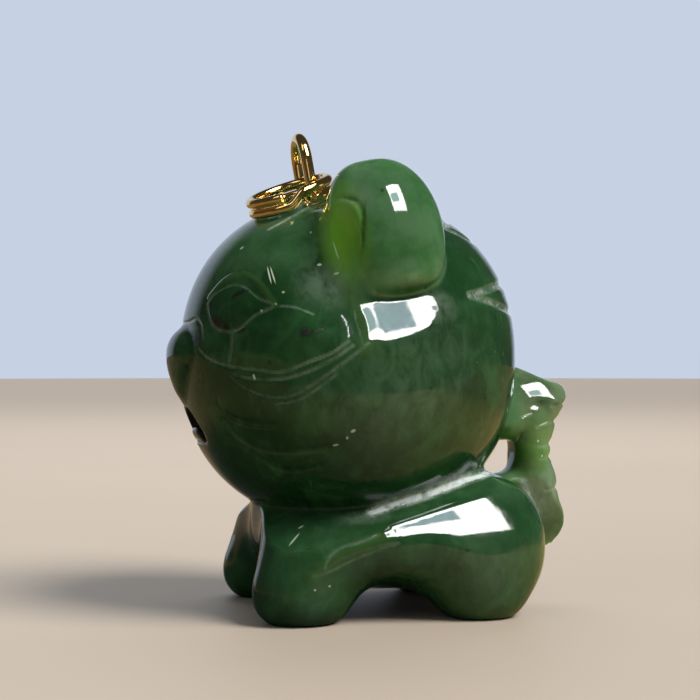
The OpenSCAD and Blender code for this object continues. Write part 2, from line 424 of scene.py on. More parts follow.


# Lines that the carver cut, on the near side: those on the head as (turn round the head from
# the face in degrees, height), those on the flank as (along the body, height); then their half
# width, depth and how frosted they are. The frosting of the streak below the gold ring is a
# painted reflection, and past full on the bevel along the neck it is a painted highlight. A negative
# depth is a raised band.
HEAD_LINES = (
    # Lower and upper rims of the eye, the raised lid above them and the line from its corner
    (((21, 15), (24, 14.4), (28, 13.85), (34, 13.6), (40, 13.75), (46, 14.35), (53, 14.8)),
     0.09, 0.06, 0.6),
    (((21, 15), (26, 15.5), (33, 15.8), (40, 15.67), (46, 15.2), (53, 14.8)), 0.08, 0.04, 0.4),
    (((22, 15.3), (28, 16.05), (35, 16.33), (41, 16.15), (47, 15.65), (52, 14.95)), 0.22, -0.06, 0),
    (((53, 14.8), (60, 14.72), (66, 14.4)), 0.08, 0.035, 0.4),
    # The upright line under the eye
    (((37, 13.55), (37, 12.9), (36, 12.15)), 0.14, 0.05, 0.25),
    # The cheek's edge and the lines below it, all turned up behind the cheek
    (((20, 12.85), (27, 12.32), (36, 12.03), (46, 11.88), (56, 11.8), (65, 12.25), (73, 12.7), (77.5, 13.2)),
     0.095, 0.06, 0.5),
    (((38, 11.65), (46, 11.46), (55, 11.46), (63, 11.72), (72, 12.3), (79, 13)),
     0.095, 0.055, 0.55),
    (((36, 11.5), (43, 10.98), (52, 10.65), (60, 10.78), (68, 11.4), (77, 12.3), (84, 13.1)),
     0.09, 0.05, 0.4),
    (((77.6, 13.1), (77.2, 13.6), (76.3, 14.04), (75.2, 14.3)), 0.05, 0.001, 0.5),
    (((82, 13), (81, 13.6), (80, 14.1), (78.9, 15)), 0.05, 0.001, 0.5),
    (((53, 10.3), (61, 10.5), (68, 11.05), (74, 11.7)), 0.085, 0.045, 0.45),
    # The fold behind the cheek, which those lines run over
    (((77.5, 15.5), (81.5, 14.7), (83.5, 14), (83.7, 13.4), (83, 12.8)), 0.75, -0.05, 0),
    # The fold along the hollow of the ear
    (((72.5, 19.75), (76.5, 19.76), (79.8, 19.55), (81.6, 19.16), (82.3, 18.6), (82.5, 17.97), (81.8, 17.44),
      (81.3, 17.04)), 0.2, 0.06, 0),
    # The soft folds of the jaw
    (((31, 9.45), (36, 8.75), (44, 8.25), (56, 8.12), (70, 8.35)), 0.22, 0.1, 0),
    (((42, 7.85), (49, 7.3), (57, 7.25), (67, 7.5)), 0.2, 0.09, 0),
    (((29, 10.3), (34, 9.75), (42, 9.4), (52, 9.35)), 0.18, 0.06, 0),
    # The crease above the nose and the line from the nose to the mouth
    (((0, 14.12), (8, 14.14), (15, 14.25), (20, 13.9), (22, 13.3)), 0.11, 0.07, 0.6),
    (((0, 10.8), (0, 10)), 0.12, 0.08, 0.2),
    # The pale streak below the gold ring, a painted reflection drawn with the frosting
    (((38, 18.5), (43.5, 18.9), (49, 19.45), (52.5, 20)), 0.2, 0.008, 0.9),
    # Two tiger stripes round the back of the head, each open in the middle
    (((124, 15.35), (133, 15.58), (144, 15.85), (160, 16.05), (180, 16.1)), 0.24, 0.17, 1),
    (((124, 15.35), (133, 15.15), (144, 14.9), (160, 14.7), (180, 14.65)), 0.24, 0.17, 1),
    (((134, 18.65), (142, 18.9), (152, 19.1), (166, 19.2), (180, 19.25)), 0.22, 0.15, 1),
    (((134, 18.65), (142, 18.45), (152, 18.2), (166, 18.05), (180, 18)), 0.22, 0.15, 1),
)
FLANK_LINES = (
    # The soft crest from the front leg to the haunch, and the bevel along the neck, whose frosting past
    # full paints a bright highlight on it
    (((-4.2, 2.5), (-3, 3.15), (-1.8, 3.75), (-0.8, 4.15)), 0.6, -0.07, 0),
    (((-1.2, 5.2), (0.2, 5.6), (1.9, 6.08), (3.7, 6.6), (5, 6.85)), 0.42, 0.02, 1.7),
    # The two lines along the front leg
    (((-4.2, 2.45), (-3.4, 2.7), (-2.45, 3.15), (-1.3, 3.6), (-0.2, 3.87)), 0.12, 0.03, 0.22),
    (((-3.65, 2.8), (-3.35, 3.4), (-2.8, 3.77), (-2.1, 3.93), (-1.1, 4.27)), 0.12, 0.03, 0.28),
    # The frosted streak on the tail beside the haunch
    (((7.7, 6.1), (8.1, 5.3), (8.55, 4.6)), 0.35, 0.004, 1.5),
    # Stripes on the tail, which run on from its notches
    (((9.2, 9.95), (10, 10.08)), 0.12, 0.07, 0.4),
    (((8.4, 8.93), (8.95, 9.15), (9.6, 9.2)), 0.12, 0.08, 0.6),
    (((8.5, 7.95), (9.3, 8.07)), 0.12, 0.07, 0.4),
    (((8.55, 7.3), (9.3, 7.42)), 0.12, 0.07, 0.4),
    (((8.9, 5.7), (9.7, 5.85)), 0.12, 0.07, 0.5),
    (((7.6, 9.46), (8.12, 9.63)), 0.11, 0.06, 0.6),
    (((7.36, 8.08), (7.58, 8.5)), 0.11, 0.06, 0.6),
)
# A line's section: the groove's share of its depth, and how much wider its soft shoulders are; how
# its frost fades at the edge; and how far past a line its field is worked out
GROOVE_SHARE = 0.65
SHOULDER_WIDTH = 1.6
FROST_FULL = 1.25
FROST_FADE = 0.8
LINE_MARGIN = 0.3
# Low swellings on the head: the lowest height and greatest depth at which they count; and for each
# its turn, height, half turn, half height and lift
PADS_FROM = 7.2
PADS_DEPTH = 1.2
PADS = (
    (36, 14.75, 17, 1.15, 0.11),
    (57, 13.2, 26, 1.7, 0.10),
    (20, 12.7, 16, 1.6, 0.08),
)


def smooth_curve(points, step=0.12):
    """A smooth curve through the given points, as more points."""
    p = np.asarray(points, float)
    p = np.vstack([2 * p[0] - p[1], p, 2 * p[-1] - p[-2]])
    out = []
    for a, b, c, d in zip(p[:-3], p[1:-2], p[2:-1], p[3:]):
        for t in np.arange(0, 1, step):
            out.append(0.5 * (2 * b + (c - a) * t + (2 * a - 5 * b + 4 * c - d) * t ** 2
                              + (3 * b - a - 3 * c + d) * t ** 3))
    out.append(p[-2])
    return np.array(out)


def cast(origin, way, field, rounds=80):
    """Where rays from outside first meet a field."""
    p = origin.copy()
    for _ in range(rounds):
        p = p + way * (0.7 * field(p))[:, None]
    return p


def on_head(points):
    """Places on the head from turns about its upright axis, where 0 is the face, and heights."""
    turn = np.radians(points[:, 0])
    out = np.stack([-np.cos(turn), -np.sin(turn), np.zeros(len(turn))], 1)
    middle = np.stack([np.full(len(turn), HEAD_PLACE[0]), np.zeros(len(turn)), points[:, 1]], 1)
    start = middle + OUTSIDE * out
    return cast(start, -out, plain)


def on_flank(points):
    """Places on the near flank from places along the body and heights."""
    start = np.stack([points[:, 0], np.full(len(points), -OUTSIDE), points[:, 1]], 1)
    way = np.tile((0.0, 1.0, 0.0), (len(points), 1))
    return cast(start, way, plain)


def place_lines():
    """The carver's lines as paths on the stone, with their half width, depth and frost."""
    tables = ((HEAD_LINES, on_head), (FLANK_LINES, on_flank))
    return [(on_stone(smooth_curve(points)), *sizes) for rows, on_stone in tables for points, *sizes in rows]


def distance_to_path(p, path):
    """The distance from points to a path of straight pieces."""
    best = np.full(len(p), np.inf)
    for a, b in zip(path[:-1], path[1:]):
        along = b - a
        t = np.clip(((p - a) @ along) / (along @ along + 1e-12), 0, 1)
        gap = p - a - t[:, None] * along
        best = np.minimum(best, np.einsum("ij,ij->i", gap, gap))
    return np.sqrt(best)


def engrave(p):
    """How deep the lines are at points less the swellings, their frosting and painted sheen, how much a
    band, how near a line.
    """
    q = near_side(p)
    depth = np.zeros(len(p))
    lift = np.zeros(len(p))
    frost_and_sheen = np.zeros(len(p))
    lid = np.zeros(len(p))
    near = np.full(len(p), FAR)
    for path, half, deep, frosted in LINES:
        margin = 3 * half + LINE_MARGIN
        low, high = path.min(0) - margin, path.max(0) + margin
        here = np.nonzero(((q > low) & (q < high)).all(1))[0]
        if not len(here):
            continue
        d = distance_to_path(q[here], path)
        near[here] = np.minimum(near[here], d - half)
        profile = np.clip(1 - (d / half) ** 2, 0, 1) ** 2
        if deep > 0:
            soft = np.clip(1 - (d / (SHOULDER_WIDTH * half)) ** 2, 0, 1) ** 2
            section = GROOVE_SHARE * profile + (1 - GROOVE_SHARE) * soft
            depth[here] = np.maximum(depth[here], deep * section)
            frosting = frosted * np.clip(FROST_FULL - d / (FROST_FADE * half), 0, 1)
            frost_and_sheen[here] = np.maximum(frost_and_sheen[here], frosting)
        else:
            lift[here] = np.maximum(lift[here], -deep * profile)
            lid[here] = np.maximum(lid[here], profile)
    flat = q - HEAD_PLACE
    turn = np.degrees(np.arctan2(-flat[:, 1], -flat[:, 0]))
    on = (q[:, 2] > PADS_FROM) & (np.abs(skull(q)) < PADS_DEPTH)
    for t, z, half_t, half_z, up in PADS:
        r = np.hypot((turn - t) / half_t, (q[:, 2] - z) / half_z)
        swelling = np.where(on, up * np.clip(1 - r ** 2, 0, 1) ** 2, 0)
        lift = np.maximum(lift, swelling)
    return depth - lift, frost_and_sheen, lid, near


def carved(p):
    """The whole carving with its lines cut."""
    return plain(p) + engrave(p)[0]


def slope(field, p, e=0.012):
    """How a field grows along each axis, by small steps both ways."""
    g = np.stack([field(p + e * step) - field(p - e * step) for step in np.eye(3)], 1)
    return g / (2 * e)


def quick_slope(field, p, here, e=0.01):
    """How a field grows along each axis, by small steps one way from its known value."""
    return np.stack([field(p + e * step) - here for step in np.eye(3)], 1) / e


def unit(v):
    """Ways made one long."""
    return v / np.maximum(np.linalg.norm(v, axis=1, keepdims=True), 1e-9)


def net(field, low, high, step):
    """A net of four-sided faces round the zero of a field that is the same on both sides of y = 0."""
    xs, ys, zs = (np.arange(a, b + step, step) for a, b in zip(low, high))
    half = np.stack([field(np.stack(np.meshgrid([x], ys, zs, indexing="ij"), -1))[0] for x in xs])
    values = np.concatenate([half[:, :0:-1], half], 1)
    start = np.array((low[0], -ys[-1], low[2]))
    inside = values < 0
    size = np.array(values.shape) - 1
    corner_steps = [(i, j, k) for i in (0, 1) for j in (0, 1) for k in (0, 1)]
    count = sum(inside[i:i + size[0], j:j + size[1], k:k + size[2]].astype(int) for i, j, k in corner_steps)
    crossed = (count > 0) & (count < 8)
    cells = np.argwhere(crossed)
    number = np.full(crossed.shape, -1)
    number[crossed] = np.arange(len(cells))
    total = np.zeros((len(cells), 3))
    weight = np.zeros(len(cells))
    for axis in range(3):
        unit_step = np.eye(3, dtype=int)[axis]
        for corner in corner_steps:
            if corner[axis]:
                continue
            a = cells + corner
            b = a + unit_step
            va, vb = values[tuple(a.T)], values[tuple(b.T)]
            here = (va < 0) != (vb < 0)
            t = np.where(here, va / np.where(here, va - vb, 1), 0)
            total += here[:, None] * (a + t[:, None] * unit_step)
            weight += here
    points = start + step * total / weight[:, None]
    quads = []
    for axis in range(3):
        unit_step = np.eye(3, dtype=int)[axis]
        side, other = np.eye(3, dtype=int)[(axis + 1) % 3], np.eye(3, dtype=int)[(axis + 2) % 3]
        a = np.argwhere(np.diff(inside, axis=axis))
        a = a[((a > 0) & (a < size)).all(1)]
        ring = [number[tuple((a - s * side - o * other).T)] for s, o in ((0, 0), (1, 0), (1, 1), (0, 1))]
        ring = np.stack(ring, 1)
        leaving = inside[tuple(a.T)]
        ring[~leaving] = ring[~leaving][:, ::-1]
        quads.append(ring)
    quads = np.concatenate(quads)
    return points, np.concatenate([quads[:, [0, 1, 2]], quads[:, [0, 2, 3]]])


def refine(points, faces, flagged):
    """Cuts the flagged edges in half, and the faces on them to suit. flagged(a, b) tells for edges a-b."""
    sides = np.sort(np.stack([faces[:, [0, 1]], faces[:, [1, 2]], faces[:, [2, 0]]], 1).reshape(-1, 2), 1)
    edges, back = np.unique(sides, axis=0, return_inverse=True)
    cut_it = flagged(edges[:, 0], edges[:, 1])
    middle = np.full(len(edges), -1)
    middle[cut_it] = len(points) + np.arange(cut_it.sum())
    a, b = edges[cut_it].T
    points = np.vstack([points, (points[a] + points[b]) / 2])
    m = middle[back.reshape(-1, 3)]
    corners = np.concatenate([faces, m], 1)
    pattern = (m[:, 0] >= 0) * 1 + (m[:, 1] >= 0) * 2 + (m[:, 2] >= 0) * 4
    # Corners 0 to 2 are the face's own, and 3 to 5 are the middles of its sides
    rules = {0: ((0, 1, 2),)}
    for turn in range(3):
        i, j, k = turn, (turn + 1) % 3, (turn + 2) % 3
        rules[1 << i] = ((i, 3 + i, k), (3 + i, j, k))
        rules[(1 << i) | (1 << j)] = ((i, 3 + i, k), (3 + i, j, 3 + j), (3 + i, 3 + j, k))
    rules[7] = ((0, 3, 5), (3, 1, 4), (5, 4, 2), (3, 4, 5))
    out = [corners[pattern == key][:, list(rule)] for key, triples in rules.items() for rule in triples]
    return points, np.concatenate(out)


def settle(points):
    """Moves points onto the carved surface and returns them with its outward directions."""
    here = carved(points)
    g = quick_slope(carved, points, here)
    steep = np.maximum((g ** 2).sum(1), LEAST_STEEP)
    move = (here / steep)[:, None] * g
    return points - np.clip(move, -LONGEST_MOVE, LONGEST_MOVE), unit(g)


def fade(value, width):
    """0 where a value is below 0, growing to 1 over a width."""
    return np.clip(value / width, 0, 1)


def thinness(points, normals):
    """1 where the stone is thin behind a point and 0 where it is thick."""
    deep = np.zeros(len(points))
    for inward in THIN_PROBES:
        deep = np.maximum(deep, -plain(points - inward * normals))
    return 1 - fade(deep - THIN_BELOW, THIN_FADE)


def glow(points):
    """1 where light comes through the front of an ear or the thin of the tail, fading out round them."""
    ear_reach = np.linalg.norm((ear_frame(points) - EAR_GLOW_PLACE) / EAR_GLOW_HALF, axis=1)
    tail_reach = np.linalg.norm((points - TAIL_GLOW_PLACE) / TAIL_GLOW_HALF, axis=1)
    in_ear, in_tail = (np.clip(GLOW_FADE - reach, 0, 1) for reach in (ear_reach, tail_reach))
    return np.maximum(in_ear, TAIL_GLOW_SHARE * in_tail)


def placed(name, data):
    """An object of the scene that shows a mesh, a light or a camera."""
    thing = bpy.data.objects.new(name, data)
    bpy.context.scene.collection.objects.link(thing)
    return thing


def mesh_object(name, points, faces, normals=None, smooth=True):
    """A mesh from places in millimetres, ready in the row's frame."""
    mesh = bpy.data.meshes.new(name)
    mesh.from_pydata((points * MM).tolist(), [], faces.tolist())
    mesh.polygons.foreach_set("use_smooth", [smooth] * len(mesh.polygons))
    if normals is not None:
        mesh.normals_split_custom_set_from_vertices(normals.tolist())
    return placed(name, mesh)


def paint(thing, name, values):
    """Keeps one number per corner point of a mesh, for its material."""
    layer = thing.data.attributes.new(name, "FLOAT", "POINT")
    layer.data.foreach_set("value", np.asarray(values, np.float32))


def make_tiger():
    """The carving as one fine mesh, with what its material needs to know at each point."""
    points, faces = net(plain, NET_LOW, NET_HIGH, NET_STEP)
    points, normals = settle(points)
    for near_limit, bend in FINE_ROUNDS:
        near = engrave(points)[3]
        bent = math.cos(math.radians(bend))

        def flagged(a, b):
            by_line = (near[a] < near_limit) & (near[b] < near_limit)
            return by_line | ((normals[a] * normals[b]).sum(1) < bent)

        points, faces = refine(points, faces, flagged)
        points, normals = settle(points)
    points, normals = settle(points)
    points[:, 2] = np.maximum(points[:, 2], 0)
    normals = unit(slope(carved, points))
    depth, frost_and_sheen, lid, near = engrave(points)
    tiger = mesh_object("tiger_skin", points, faces, normals)
    # Frosting of the lines, with the painted sheen of the streak below the ring and the neck's bevel
    paint(tiger, "frost_and_sheen", frost_and_sheen)
    paint(tiger, "lid", lid)
    x, y, z = points.T
    leg = fade(LEG_TOP - z, LEG_TOP_FADE) * fade(LEG_BACK - x, LEG_BACK_FADE)
    muzzle = fade(MUZZLE_BACK - x, MUZZLE_FADE)
    # How thin the stone is, which paints light coming through it, less in the legs and the muzzle
    paint(tiger, "thin", thinness(points, normals) * (1 - THICK_SHARE * np.maximum(leg, muzzle)))
    paint(tiger, "glow", glow(points))
    paint(tiger, "tail", fade(x - TAIL_FRONT, TAIL_FRONT_FADE) * fade(TAIL_SIDE - np.abs(y), TAIL_SIDE_FADE))
    # The inside of the mouth, darkened in the material as painted shade
    to_lips = np.abs(within(points, (-12, -4, 6), (-7, 4, 12), lips))
    paint(tiger, "mouth", fade(MOUTH_RIM - to_lips, MOUTH_RIM))
    return tiger


class Nodes:
    """Short ways to add and link shader nodes in one material or world."""

    def __init__(self, tree):
        self.tree = tree
        tree.nodes.clear()

    def add(self, kind, inputs=None, **settings):
        node = self.tree.nodes.new("ShaderNode" + kind)
        for key, value in settings.items():
            setattr(node, key, value)
        for key, value in (inputs or {}).items():
            if isinstance(value, bpy.types.NodeSocket):
                self.tree.links.new(value, node.inputs[key])
            else:
                node.inputs[key].default_value = value
        return node

    def math(self, operation, a, b=0.0, clamp=False):
        return self.add("Math", {0: a, 1: b}, operation=operation, use_clamp=clamp).outputs[0]

    def vector(self, operation, a, b=(0, 0, 0)):
        """What two vectors give: a vector, or a number for a length or a dot product."""
        outputs = self.add("VectorMath", {0: a, 1: b}, operation=operation).outputs
        return outputs[1 if operation in ("LENGTH", "DOT_PRODUCT") else 0]

    def remap(self, value, low, high, to_low=0.0, to_high=1.0):
        inputs = {"Value": value, "From Min": low, "From Max": high, "To Min": to_low, "To Max": to_high}
        return self.add("MapRange", inputs, interpolation_type="SMOOTHSTEP").outputs["Result"]

    def mix(self, factor, a, b):
        return self.add("Mix", {0: factor, 6: a, 7: b}, data_type="RGBA", clamp_factor=True).outputs[2]

    def noise(self, vector, scale, detail=3.0, roughness=0.5, distortion=0.0):
        inputs = {"Vector": vector, "Scale": scale, "Detail": detail, "Roughness": roughness,
                  "Distortion": distortion}
        return self.add("TexNoise", inputs).outputs["Fac"]

    def attribute(self, name):
        return self.add("Attribute", attribute_name=name).outputs["Fac"]


def new_material(name):
    """An empty material, its nodes, and the place on the object in millimetres."""
    material = bpy.data.materials.new(name)
    material.use_nodes = True
    n = Nodes(material.node_tree)
    mm = n.add("Mapping", {"Vector": n.add("TexCoord").outputs["Object"], "Scale": (1 / MM,) * 3}).outputs[0]
    return material, n, mm


def rgba(r, g, b):
    return (r, g, b, 1.0)


# Soft cloudy patches in the stone and marks on it, among which one patch by the neck is a painted
# highlight and some dark spots are painted shade: turn and height on the head, or place along the body and
# height on the near or the far flank; half sizes along and up, lean in degrees, strength
CLOUDS_AND_HIGHLIGHT = {
    "head": (
        (70, 15.75, 1.2, 0.95, 0, 0.4), (71, 15.6, 0.55, 0.4, -30, 0.55),
        (109, 14.7, 0.9, 0.7, 0, 0.35), (99, 12.2, 3.2, 2.6, 0, 0.15),
        (77, 10.2, 2.6, 1.6, -12, 0.12), (78, 19.6, 0.9, 0.6, 10, 0.3),
    ),
    "flank": (
        # The first, by the neck, is a painted highlight beside the bevel
        (-1.6, 5, 0.9, 0.35, 8, 0.5), (3.6, 2.4, 2.4, 1.3, 0, 0.15),
        (8.5, 5.3, 0.75, 1.4, -25, 1), (6.1, 6.6, 0.7, 0.35, -20, 0.6),
    ),
}
DARK_SPECKS_AND_SHADE = {
    "head": (
        (29.5, 14.1, 0.42, 0.27, -25, 1), (34, 13.85, 0.22, 0.14, -20, 1),
        (40.5, 13.72, 0.3, 0.16, 8, 1), (38, 15.4, 0.4, 0.14, 18, 1),
        # The blot at turn 19 on this line is painted shade in the groove between the nose and the cheek
        (36.5, 15.25, 0.18, 0.12, 40, 0.9), (19, 13.45, 0.42, 0.5, 0, 0.75),
        # These two are painted shade along the fold in the ear's hollow
        (82.2, 18.3, 0.11, 1, 0, 0.6), (78, 19.68, 0.4, 0.09, -14, 0.55),
        (13, 11.98, 0.13, 0.13, 0, 0.8), (64, 13.56, 0.26, 0.24, 0, 0.9),
        (68, 13.65, 0.26, 0.08, 14, 0.9), (108, 14.7, 0.16, 0.13, 0, 0.7),
        (52, 12.2, 0.09, 0.08, 0, 0.7),
    ),
    "flank": (
        (-4.2, 2.8, 0.16, 0.09, 0, 0.7), (-4.3, 3.7, 0.1, 0.07, 0, 0.6),
        (6, 3.7, 0.1, 0.09, 0, 0.6), (4.7, 12.7, 0.1, 0.08, 0, 0.6),
        (3.5, 12.2, 0.1, 0.08, 0, 0.5), (4.1, 10.6, 0.09, 0.09, 0, 0.5),
        (8.66, 10.17, 0.1, 0.1, 0, 0.6),
    ),
    "far": (
        (-4.1, 12, 0.2, 0.14, 20, 0.8), (2.6, 14.4, 0.16, 0.1, -15, 0.7),
        (4, 3.2, 0.13, 0.1, 0, 0.7),
    ),
}
SCRATCHES = {
    "head": (
        (48.5, 16.22, 0.035, 0.46, 26, 1), (49.9, 16.22, 0.035, 0.46, 26, 0.9),
        (72.5, 17.35, 0.035, 0.45, 22, 0.45), (29, 17.6, 0.07, 0.11, -50, 0.6),
        (37, 19.12, 0.08, 0.08, 0, 0.6), (49, 18.75, 0.05, 0.13, 0, 0.6),
        (60, 18.25, 0.05, 0.06, 0, 0.5), (66, 16.69, 0.1, 0.06, 0, 0.7),
        (73, 16.27, 0.13, 0.05, 15, 0.5), (46, 11.55, 0.06, 0.13, 10, 0.9),
        (48, 14.56, 0.05, 0.07, 0, 0.5), (53, 14.87, 0.06, 0.05, 0, 0.45),
        (55, 15.41, 0.07, 0.06, 0, 0.5), (79, 9.12, 0.12, 0.07, 30, 0.6),
        (77, 8.8, 0.06, 0.08, 0, 0.5), (73, 8.47, 0.14, 0.05, 12, 0.5),
    ),
    "flank": (
        (-4.87, 4.03, 0.05, 0.42, -18, 0.7), (-4.45, 4.53, 0.05, 0.15, -40, 0.6),
        (-4.13, 1.82, 0.06, 0.05, 0, 0.5), (-3.44, 1.97, 0.06, 0.05, 0, 0.5),
        (8.7, 9.06, 0.3, 0.035, 20, 0.8), (7.87, 9.55, 0.26, 0.035, 16, 0.8),
        (7.46, 8.27, 0.22, 0.035, 55, 0.8), (8.43, 8.21, 0.05, 0.06, 0, 0.7),
        (8.64, 7.45, 0.05, 0.06, 0, 0.7),
    ),
    "far": (
        (-3, 15.2, 0.03, 0.4, -30, 0.7), (1.5, 10, 0.06, 0.08, 0, 0.5),
        (-2, 9, 0.1, 0.05, 20, 0.5), (3, 4, 0.03, 0.3, 25, 0.6),
    ),
}


def mark_places(marks):
    """Each mark's place on the stone, the way it faces and its sizes."""
    out = []
    for side, rows in marks.items():
        on_stone = on_head if side == "head" else on_flank
        for first, height, along, up, lean, strength in rows:
            place = on_stone(np.array([(first, height)], float)) * (1, -1 if side == "far" else 1, 1)
            out.append((place[0], unit(slope(plain, place))[0], along, up, lean, strength))
    return out


def mark_factor(n, vector, marks, softness):
    """Where the stone carries any of the marks: each is a flat blot that faces outward."""
    factor = None
    for place, facing, along, up, lean, strength in mark_places(marks):
        out = Vector(facing)
        side = Vector((0, 0, 1)).cross(out).normalized()
        basis_up = out.cross(side)
        lean_angle = math.radians(lean)
        along_way = side * math.cos(lean_angle) + basis_up * math.sin(lean_angle)
        up_way = basis_up * math.cos(lean_angle) - side * math.sin(lean_angle)
        from_place = n.vector("SUBTRACT", vector, Vector(place))
        scaled_ways = (along_way / along, up_way / up, out / max(along, up, MARK_DEPTH))
        reaches = [n.vector("DOT_PRODUCT", from_place, scaled) for scaled in scaled_ways]
        reach = n.vector("LENGTH", n.add("CombineXYZ", dict(enumerate(reaches))).outputs[0])
        blot = n.remap(reach, 1 + softness, 1 - softness, 0.0, strength)
        factor = blot if factor is None else n.math("MAXIMUM", factor, blot)
    return factor


# The jade's tones: the clear stone, its veils and fibres, where it is thin, milkier and with painted
# light coming through, and what it carries, partly painted shade, highlight and reflection
DEEP = rgba(0.0052, 0.03, 0.008)
GREEN = rgba(0.011, 0.05, 0.015)
VEIL = rgba(0.021, 0.078, 0.026)
PALE_FIBRE = rgba(0.035, 0.1, 0.044)
DARK_FIBRE = rgba(0.0055, 0.023, 0.006)
MILKY_GLOW = (rgba(0.066, 0.19, 0.066), rgba(0.125, 0.25, 0.125))
GREY_MILKY_GLOW = (rgba(0.072, 0.125, 0.058), rgba(0.135, 0.19, 0.105))
GLOWING = rgba(0.14, 0.34, 0.02)
CLOUD_AND_HIGHLIGHT = rgba(0.18, 0.245, 0.18)
LID = rgba(0.05, 0.1, 0.022)
MOUTH_SHADE = rgba(0.007, 0.0045, 0.003)
SPECK_AND_SHADE = rgba(0.0014, 0.0022, 0.0017)
TINY_SPECK = rgba(0.0022, 0.0055, 0.0028)
FROST_AND_PAINTED_SHEEN = rgba(0.27, 0.33, 0.28)
BRIGHT_FROST_AND_HIGHLIGHT = rgba(0.62, 0.68, 0.66)
SCRATCH = rgba(0.52, 0.58, 0.46)
# The soft edge of each kind of mark, as a share of its size
CLOUD_EDGE = 0.85
SPECK_EDGE = 0.45
SCRATCH_EDGE = 0.3
# How far a mark reaches into the stone at least, in millimetres
MARK_DEPTH = 0.4


def jade():
    """Polished jade: dark green with veils and fibres, milkier where thin with painted light coming through,
    glowing where light comes through an ear or the tail, with its marks, frosting, and some painted shade,
    highlight and reflection.
    """
    material, n, mm = new_material("polished_jade")
    drift = n.noise(mm, 0.16, 3, 0.5, 0.4)
    veil = n.noise(mm, 0.42, 5, 0.55, 0.9)
    along_fibres = n.add("Mapping", {"Vector": mm, "Rotation": (0.5, 0.3, 0.9), "Scale": (1, 1, 0.6)})
    fibre = n.noise(along_fibres.outputs[0], 1.5, 6, 0.62, 0.6)
    grain = n.noise(mm, 7.0, 3, 0.6)
    frost_and_sheen = n.attribute("frost_and_sheen")

    colour = n.mix(n.remap(drift, 0.36, 0.66), DEEP, GREEN)
    colour = n.mix(n.remap(veil, 0.46, 0.70, 0, 0.7), colour, VEIL)
    colour = n.mix(n.remap(fibre, 0.5, 0.74, 0, 0.35), colour, PALE_FIBRE)
    colour = n.mix(n.remap(fibre, 0.5, 0.3, 0, 0.4), colour, DARK_FIBRE)
    mild = n.noise(mm, 0.6, 5, 0.62)
    milky_glow = n.mix(n.remap(mild, 0.36, 0.62), *MILKY_GLOW)
    grey = n.mix(n.remap(mild, 0.36, 0.62), *GREY_MILKY_GLOW)
    milky_glow = n.mix(n.attribute("tail"), milky_glow, grey)
    # Lighter where thin: painted light coming through the stone, over its milkier tone
    colour = n.mix(n.math("MULTIPLY", n.attribute("thin"), 0.85), colour, milky_glow)
    colour = n.mix(n.math("MULTIPLY", n.attribute("glow"), 0.85), colour, GLOWING)
    clouds_and_highlight = mark_factor(n, mm, CLOUDS_AND_HIGHLIGHT, CLOUD_EDGE)
    mottled = n.math("MULTIPLY", clouds_and_highlight, n.remap(fibre, 0.3, 0.62, 0.25, 1.0))
    # Cloudy patches in the stone, and a painted highlight by the neck
    colour = n.mix(mottled, colour, CLOUD_AND_HIGHLIGHT)
    colour = n.mix(n.math("MULTIPLY", n.attribute("lid"), 0.4), colour, LID)
    # Painted shade inside the open mouth
    colour = n.mix(n.attribute("mouth"), colour, MOUTH_SHADE)
    specks_and_shade = mark_factor(n, mm, DARK_SPECKS_AND_SHADE, SPECK_EDGE)
    rough_edge = n.math("MULTIPLY", specks_and_shade, n.remap(grain, 0.35, 0.6, 0.55, 1.1), clamp=True)
    # Dark spots in the stone, and painted shade in the groove beside the nose and in the ear's fold
    colour = n.mix(rough_edge, colour, SPECK_AND_SHADE)
    tiny = n.add("TexVoronoi", {"Vector": mm, "Scale": 0.62}).outputs["Distance"]
    colour = n.mix(n.remap(tiny, 0.08, 0.035, 0, 0.55), colour, TINY_SPECK)
    scratches = mark_factor(n, mm, SCRATCHES, SCRATCH_EDGE)
    patchy = n.remap(n.noise(mm, 1.3, 3, 0.6, 0.5), 0.36, 0.6, 0.3, 1.0)
    grainy = n.math("MULTIPLY", n.math("MULTIPLY", frost_and_sheen, patchy), n.remap(grain, 0.3, 0.6, 0.55, 1.0))
    # Frosting on the lines, which on the streak below the ring is a painted reflection
    colour = n.mix(grainy, colour, FROST_AND_PAINTED_SHEEN)
    # Lighter still past full frosting: a painted highlight on the bevel along the neck, and brighter
    # frosting in the streak on the tail
    bright = n.math("MULTIPLY", n.remap(frost_and_sheen, 1.0, 1.6), n.remap(fibre, 0.36, 0.58))
    colour = n.mix(bright, colour, BRIGHT_FROST_AND_HIGHLIGHT)
    colour = n.mix(scratches, colour, SCRATCH)
    worn = n.math("MAXIMUM", scratches, grainy)

    polish = n.remap(n.noise(mm, 2.6, 4), 0.35, 0.7, 0.035, 0.085)
    pitted = n.math("MAXIMUM", worn, specks_and_shade)
    roughness = n.math("MAXIMUM", polish, n.math("MULTIPLY", pitted, 0.55))
    ripple = n.add("Bump", {"Height": n.noise(mm, 0.9, 2), "Strength": 0.06, "Distance": 0.00006}).outputs[0]
    tooth = n.add("Bump", {"Height": n.math("MULTIPLY", n.noise(mm, 16, 2), worn), "Strength": 0.6,
                           "Distance": 0.00003, "Normal": ripple}).outputs[0]
    shader = n.add("BsdfPrincipled", {
        "Base Color": colour, "Roughness": roughness, "Normal": tooth, "IOR": 1.52,
        "Subsurface Weight": 0.6, "Subsurface Radius": (0.7, 1.0, 0.45), "Subsurface Scale": 1.2 * MM,
    })
    n.add("OutputMaterial", {"Surface": shader.outputs[0]})
    return material


# The gold's darker and lighter tone
GOLD = (rgba(0.91, 0.62, 0.20), rgba(0.98, 0.75, 0.34))


